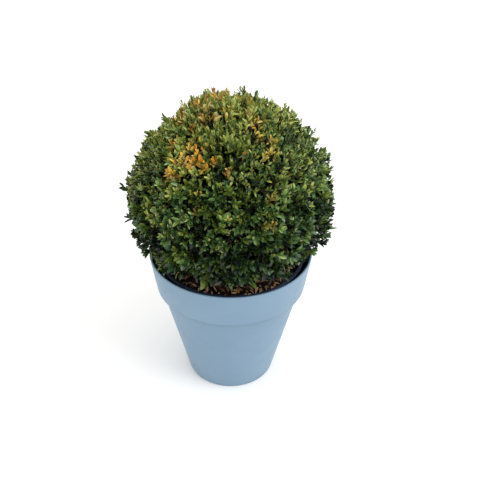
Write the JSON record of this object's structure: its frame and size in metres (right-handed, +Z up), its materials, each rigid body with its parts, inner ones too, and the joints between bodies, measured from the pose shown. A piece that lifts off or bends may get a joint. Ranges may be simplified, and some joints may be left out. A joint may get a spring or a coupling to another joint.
{
  "type": "potted box topiary ball",
  "caption": "Evergreen box bush clipped to a ball, with loose shoots under it, growing in a black inner pot that stands in a round tapered blue planter with a collar.",
  "frame": {"origin": "middle of the planter's flat underside, on the ground", "axes": "+Z up through the stem to the top of the ball, -Y towards the front, +X to the right seen from the front"},
  "size_m": [0.3347, 0.3339, 0.5296],
  "materials": {
    "planter_plastic": "satin",
    "grower_pot_plastic": "satin",
    "compost": "matte",
    "bark": "matte",
    "clipped_leaves": "satin",
    "loose_leaves": "satin"
  },
  "bodies": {
    "root": {"planter": "planter_plastic", "grower_pot": "grower_pot_plastic", "potting_soil": "compost", "stem": "bark", "bough_centre": "bark", "bough_front": "bark", "bough_front_right": "bark", "bough_back_right": "bark", "bough_back": "bark", "bough_back_left": "bark", "bough_front_left": "bark", "crown_ball": "clipped_leaves", "low_shoots_front": "loose_leaves", "low_shoots_front_right": "loose_leaves", "low_shoots_back_right": "loose_leaves", "low_shoots_back": "loose_leaves", "low_shoots_back_left": "loose_leaves", "low_shoots_front_left": "loose_leaves"}
  },
  "joints": []
}
